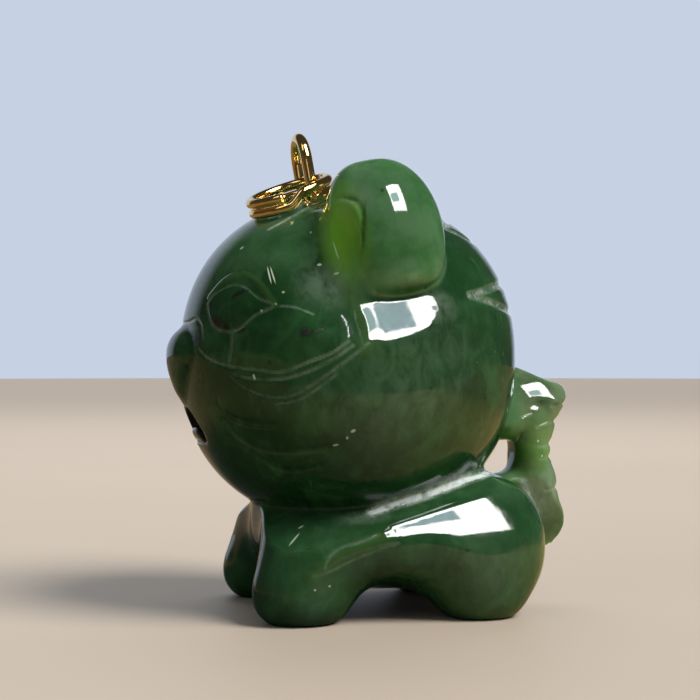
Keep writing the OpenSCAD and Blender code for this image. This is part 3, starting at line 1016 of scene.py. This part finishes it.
def polished_gold():
    """Polished gold with a drawn wire's faint grain and small dents."""
    material, n, mm = new_material("polished_gold")
    haze = n.noise(mm, 3.2, 4, 0.6)
    colour = n.mix(n.remap(haze, 0.35, 0.7), *GOLD)
    drawn = n.noise(n.add("Mapping", {"Vector": mm, "Scale": (1, 1, 6)}).outputs[0], 9, 3)
    roughness = n.remap(drawn, 0.3, 0.75, 0.03, 0.12)
    dents = n.add("Bump", {"Height": n.noise(mm, 2.2, 3), "Strength": 0.3, "Distance": 0.00005}).outputs[0]
    shader = n.add("BsdfPrincipled", {"Base Color": colour, "Metallic": 1.0, "Roughness": roughness,
                                      "Normal": dents})
    n.add("OutputMaterial", {"Surface": shader.outputs[0]})
    return material


# A way along which no wire runs, and the rounding of a wire's ends as a share of its thickness
ASKEW = (0.31, 0.42, 0.85)
END_BEVEL = 0.22
END_ANGLES = (30, 60, 90)


def sweep(path, thickness, sides=28, closed=False):
    """A round wire along a path in millimetres, with rounded ends where it isn't closed."""
    path = np.asarray(path, float)
    along = unit(np.roll(path, -1, 0) - np.roll(path, 1, 0) if closed else np.gradient(path, axis=0))
    across = unit(np.cross(along, ASKEW))
    for i in range(1, len(path)):
        across[i] = across[i - 1] - along[i] * (across[i - 1] @ along[i])
        across[i] /= np.linalg.norm(across[i])
    upright = np.cross(along, across)
    angle = np.arange(sides) * 2 * math.pi / sides
    hoops = [np.cos(angle)[:, None] * a + np.sin(angle)[:, None] * u for a, u in zip(across, upright)]
    rings = [p + thickness / 2 * hoop for p, hoop in zip(path, hoops)]
    if not closed:
        bevel = END_BEVEL * thickness
        for end, way in ((0, -1), (-1, 1)):
            caps = []
            for t in np.radians(END_ANGLES):
                centre = path[end] + way * along[end] * bevel * (math.sin(t) - 1)
                caps.append(centre + (thickness / 2 - bevel * (1 - math.cos(t))) * hoops[end])
            rings[end] = rings[end] - way * along[end] * bevel
            rings = caps[::-1] + rings if end == 0 else rings + caps
    n_rings = len(rings)
    faces = []
    turned_by = 0
    if closed:
        turned_by = int(np.argmax([(np.roll(hoops[0], -k, 0) * hoops[-1]).sum() for k in range(sides)]))
    for i in range(n_rings if closed else n_rings - 1):
        j = (i + 1) % n_rings
        offset = turned_by if j == 0 else 0
        for k in range(sides):
            k2 = (k + 1) % sides
            faces.append((i * sides + k, i * sides + k2, j * sides + (k2 + offset) % sides,
                          j * sides + (k + offset) % sides))
    if not closed:
        faces.append(tuple(range(sides))[::-1])
        faces.append(tuple((n_rings - 1) * sides + k for k in range(sides)))
    return np.concatenate(rings), faces


def wire_object(name, parts):
    """One mesh from several swept wires."""
    points, faces = [], []
    for part_points, part_faces in parts:
        base = sum(len(p) for p in points)
        points.append(part_points)
        faces += [tuple(base + k for k in face) for face in part_faces]
    mesh = bpy.data.meshes.new(name)
    mesh.from_pydata((np.concatenate(points) * MM).tolist(), [], faces)
    mesh.validate()
    mesh.polygons.foreach_set("use_smooth", [len(f) == 4 for f in faces][:len(mesh.polygons)])
    return placed(name, mesh)


def from_eye_frame(local):
    """Places upright on the gold eye's foot, brought into the row's frame."""
    x, y = spin(local[:, 0], local[:, 1], -EYE_TURN)
    x, z = spin(x, local[:, 2], -EYE_LEAN)
    return EYE_FOOT + np.stack([x, y, z], 1)


def make_eye():
    """The gold eye as a closed loop, with the peg that it stands on."""
    angles = np.radians(np.arange(0, 180, 5))
    upper = [(0, EYE_R * math.cos(a), EYE_HIGH + EYE_R * math.sin(a)) for a in angles]
    lower = [(0, -EYE_R * math.cos(a), EYE_LOW - EYE_R * math.sin(a)) for a in angles]
    loop = from_eye_frame(np.array(upper + lower))
    peg = from_eye_frame(np.array([(0, 0, z) for z in np.linspace(PEG_TOP - PEG_L, PEG_TOP, 9)]))
    return wire_object("gold_eye_loop", [sweep(loop, EYE_WIRE, closed=True), sweep(peg, PEG_D)])


def turn_height(a):
    """Height of the split ring's wire at an angle: upper turn, crossing or lower turn."""
    if a >= CROSS_FROM:
        return TURN_H
    if a <= CROSS_TO:
        return -TURN_H
    return TURN_H * math.cos(math.pi * (CROSS_FROM - a) / (CROSS_FROM - CROSS_TO))


def make_ring():
    """The split ring of two turns, lying on the head and threaded through the eye."""
    hang = math.radians(RING_HANG)
    middle = -TURN_R * np.array((math.cos(hang), math.sin(hang), 0))
    middle = middle - RING_SLIDE * np.array((math.sin(hang), -math.cos(hang), 0))
    lean = math.radians(EYE_LEAN)
    pivot = EYE_FOOT + np.array((-PIVOT_H * math.sin(lean), PIVOT_Y, PIVOT_H * math.cos(lean)))
    path = []
    for a in np.linspace(UPPER_END, LOWER_END, 300):
        angle = math.radians(a)
        path.append((TURN_R * math.cos(angle), TURN_R * math.sin(angle), turn_height(a)))
    local = np.array(path) + middle
    y, z = spin(local[:, 1], local[:, 2], -RING_SLOPE)
    x, z = spin(local[:, 0], z, -RING_TILT)
    return wire_object("gold_split_ring", [sweep(pivot + np.stack([x, y, z], 1), RING_WIRE)])


# The round table: its size, where the tiger's shade lies on it, the pale tones that the camera sees,
# a little darker far off as a painted pool of light, the duller ones that the polish mirrors, darker
# before the face as painted shadow, and the light that it throws back
FLOOR_R = 790
FLOOR_CORNERS = 96
SHADE_PLACE = (-13, 3, 0)
TABLE = (rgba(0.43, 0.355, 0.28), rgba(0.48, 0.40, 0.32))
TABLE_FAR = rgba(0.42, 0.35, 0.28)
DULL_FRONT = rgba(0.17, 0.11, 0.055)
DULL_BACK = rgba(0.44, 0.30, 0.105)
DULL_END = rgba(0.20, 0.15, 0.07)
DULL_SHADE = rgba(0.045, 0.037, 0.026)
DULL_EDGE = rgba(0.03, 0.03, 0.028)
BOUNCE = rgba(0.44, 0.43, 0.20)
BOUNCE_SHADE = rgba(0.10, 0.085, 0.05)


def make_floor():
    """A plain pale round table top, painted a little darker far from the tiger. The carving mirrors it
    duller, with painted shadow darkest before the face.
    """
    angle = np.arange(FLOOR_CORNERS) * 2 * math.pi / FLOOR_CORNERS
    rim = FLOOR_R * np.stack([np.cos(angle), np.sin(angle), 0 * angle], 1)
    floor = mesh_object("floor", rim, np.arange(FLOOR_CORNERS)[None], smooth=False)
    material, n, mm = new_material("pale_table")
    tone = n.mix(n.noise(mm, 0.02, 3), *TABLE)
    # Painted pool of light: a little darker far from the tiger
    away = n.remap(n.vector("LENGTH", mm), 60, 420)
    tone = n.mix(away, tone, TABLE_FAR)
    place = n.add("SeparateXYZ", {0: mm})
    # Painted shadow: the mirrored table darker towards the front
    dull = n.mix(n.remap(place.outputs["X"], -20, 30), DULL_FRONT, DULL_BACK)
    dull = n.mix(n.remap(place.outputs["X"], 32, 60), dull, DULL_END)
    reach = n.vector("LENGTH", n.vector("SUBTRACT", mm, SHADE_PLACE))
    dull = n.mix(n.remap(reach, 8, 26), DULL_SHADE, dull)
    dull = n.mix(n.remap(place.outputs["Y"], -45, -49), dull, DULL_EDGE)
    bounce = n.mix(n.remap(reach, 10, 26), BOUNCE_SHADE, BOUNCE)
    rays = n.add("LightPath").outputs
    tone = n.mix(rays["Is Diffuse Ray"], tone, bounce)
    tone = n.mix(rays["Is Glossy Ray"], tone, dull)
    shader = n.add("BsdfPrincipled", {"Base Color": tone, "Roughness": 0.55})
    n.add("OutputMaterial", {"Surface": shader.outputs[0]})
    floor.data.materials.append(material)
    return floor


# The sky, and the room and shade that the stone mirrors and is lit by
SKY = rgba(0.565, 0.640, 0.770)
OVERHEAD = rgba(0.10, 0.11, 0.13)
ROOM = rgba(0.045, 0.042, 0.040)
ROOM_LOW = rgba(0.075, 0.065, 0.055)
SHADE = rgba(0.23, 0.25, 0.29)


def make_world():
    """A pale sky behind the tiger, dimmer overhead, and a dim room on the near side, lighter low down,
    for the polish to mirror. The stone is lit by an even soft shade, and the camera sees pale sky."""
    world = bpy.data.worlds.new("studio")
    bpy.context.scene.world = world
    world.use_nodes = True
    n = Nodes(world.node_tree)
    way = n.add("SeparateXYZ", {0: n.add("TexCoord").outputs["Generated"]})
    back = n.remap(way.outputs["Y"], 0.70, 0.88)
    room = n.mix(n.remap(way.outputs["Z"], 0.42, -0.05), ROOM, ROOM_LOW)
    sky = n.mix(n.remap(way.outputs["Z"], 0.30, 0.80), SKY, OVERHEAD)
    surroundings = n.mix(back, room, sky)
    rays = n.add("LightPath").outputs
    surroundings = n.mix(rays["Is Diffuse Ray"], surroundings, SHADE)
    seen = n.mix(rays["Is Camera Ray"], surroundings, SKY)
    background = n.add("Background", {"Color": seen, "Strength": 1.0})
    n.add("OutputWorld", {"Surface": background.outputs[0]})


def light_way(turn, height):
    """The way toward a light, from its turn round the tiger, 0 from the near side, and its height angle."""
    t, h = math.radians(turn), math.radians(height)
    return Vector((math.sin(t) * math.cos(h), -math.cos(t) * math.cos(h), math.sin(h)))


def soft_box(name, turn, height, size, power, colour, mirrored, shift=(0, 0)):
    """A soft light that faces the tiger from a turn round it, 0 from the near side, and a height angle.
    One that is mirrored shows in the polish only, and one that isn't lights the stone only. Power is in
    watts, or for a mirrored one its brightness. The shift is across and up, in millimetres."""
    data = bpy.data.lights.new(name, "AREA")
    data.shape = "RECTANGLE"
    data.size, data.size_y = (s * MM for s in size)
    data.energy = power * math.pi * size[0] * size[1] * MM ** 2 if mirrored else power
    data.color = colour
    light = placed(name, data)
    way = light_way(turn, height)
    across = Vector((0, 0, 1)).cross(way).normalized()
    place = LIGHT_AIM + way * LIGHT_DISTANCE + across * shift[0] + way.cross(across) * shift[1]
    light.location = place * MM
    light.rotation_euler = way.to_track_quat("Z", "Y").to_euler()
    light.visible_glossy = mirrored
    light.visible_diffuse = not mirrored
    light.visible_transmission = not mirrored
    return light


# The window that the polish mirrors: panes as (across, up) from corner to corner, brightness, colour
WINDOW_TURN = 22
WINDOW_HEIGHT = 48
DAYLIGHT = (1.0, 0.99, 0.97)
PANES = (
    ((-49, 18), (49, 62), 26, DAYLIGHT),
    ((-49, -62), (49, -24), 26, DAYLIGHT),
    ((-49, -24), (-40, 18), 26, DAYLIGHT),
    ((12, -24), (49, 18), 26, DAYLIGHT),
    ((-40, -24), (12, 18), 8, (0.68, 0.86, 1.0)),
)
# More of the room that only the gold mirrors: turn, height, size and brightness
GOLD_GLINTS = (
    (22, 48, (190, 220), 6.0),
    (-62, 42, (80, 120), 1.3),
    (75, 8, (90, 60), 0.9),
    (-20, 5, (70, 40), 0.7),
)
GLINT_COLOUR = (1.0, 0.97, 0.9)
# Where every light is aimed, how far off it is, and how wide the sun looks, in degrees
LIGHT_AIM = Vector((-1.0, 0, 10))
LIGHT_DISTANCE = 260
SUN_SPREAD = 30


def soft_sun(name, turn, height, strength, colour):
    """An even light from afar, which lights the stone and the table but doesn't show in the polish."""
    data = bpy.data.lights.new(name, "SUN")
    data.energy = strength
    data.angle = math.radians(SUN_SPREAD)
    data.color = colour
    light = placed(name, data)
    light.rotation_euler = light_way(turn, height).to_track_quat("Z", "Y").to_euler()
    light.visible_glossy = False


def make_lights(gold_pieces):
    """A soft sun, two soft boxes, the window in the polish, and glints that only the gold mirrors."""
    soft_sun("key_light", 48, 48, 4.3, (1.0, 0.98, 0.94))
    soft_box("fill_light", -55, 25, (200, 160), 0.05, (0.80, 1.0, 0.82), mirrored=False)
    soft_box("back_light", 165, 50, (260, 160), 0.30, (0.90, 0.95, 1.0), mirrored=False)
    for number, (low, high, brightness, colour) in enumerate(PANES):
        size = (high[0] - low[0], high[1] - low[1])
        middle = ((high[0] + low[0]) / 2, (high[1] + low[1]) / 2)
        soft_box(f"pane_{number}", WINDOW_TURN, WINDOW_HEIGHT, size, brightness, colour, True, middle)
    gold_only = bpy.data.collections.new("gold_only")
    bpy.context.scene.collection.children.link(gold_only)
    for piece in gold_pieces:
        gold_only.objects.link(piece)
    for number, (turn, height, size, brightness) in enumerate(GOLD_GLINTS):
        light = soft_box(f"gold_glint_{number}", turn, height, size, brightness, GLINT_COLOUR, True)
        light.light_linking.receiver_collection = gold_only


def plain_colours():
    """Shows colours as they are, as a camera does, with nothing added."""
    view = bpy.context.scene.view_settings
    view.view_transform = "Standard"
    view.look = "None"


def make_camera():
    """The camera, placed and aimed as the photograph was taken."""
    data = bpy.data.cameras.new("camera")
    data.sensor_width = SENSOR
    data.lens = FOCAL_PX / FRAME_PX * SENSOR
    data.shift_y = (HORIZON_PX - FRAME_PX / 2) / FRAME_PX
    data.clip_start = 0.001
    data.clip_end = 10
    camera = placed("camera", data)
    turn = math.radians(CAMERA_TURN)
    ahead = Vector((math.sin(turn), math.cos(turn), 0))
    camera.location = (Vector((CAMERA_AIM_X, 0, CAMERA_HEIGHT)) - ahead * CAMERA_DISTANCE) * MM
    camera.rotation_euler = (-ahead).to_track_quat("Z", "Y").to_euler()
    bpy.context.scene.camera = camera


LINES = place_lines()
tiger = make_tiger()
tiger.data.materials.append(jade())
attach(tiger, "tiger")
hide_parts("jade_carving")

gold = polished_gold()
eye = make_eye()
eye.data.materials.append(gold)
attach(eye, "tiger")
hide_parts("screw_eye")

ring = make_ring()
ring.data.materials.append(gold)
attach(ring, "ring")
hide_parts("split_ring")

make_floor()
make_world()
make_lights((eye, ring))
make_camera()
plain_colours()
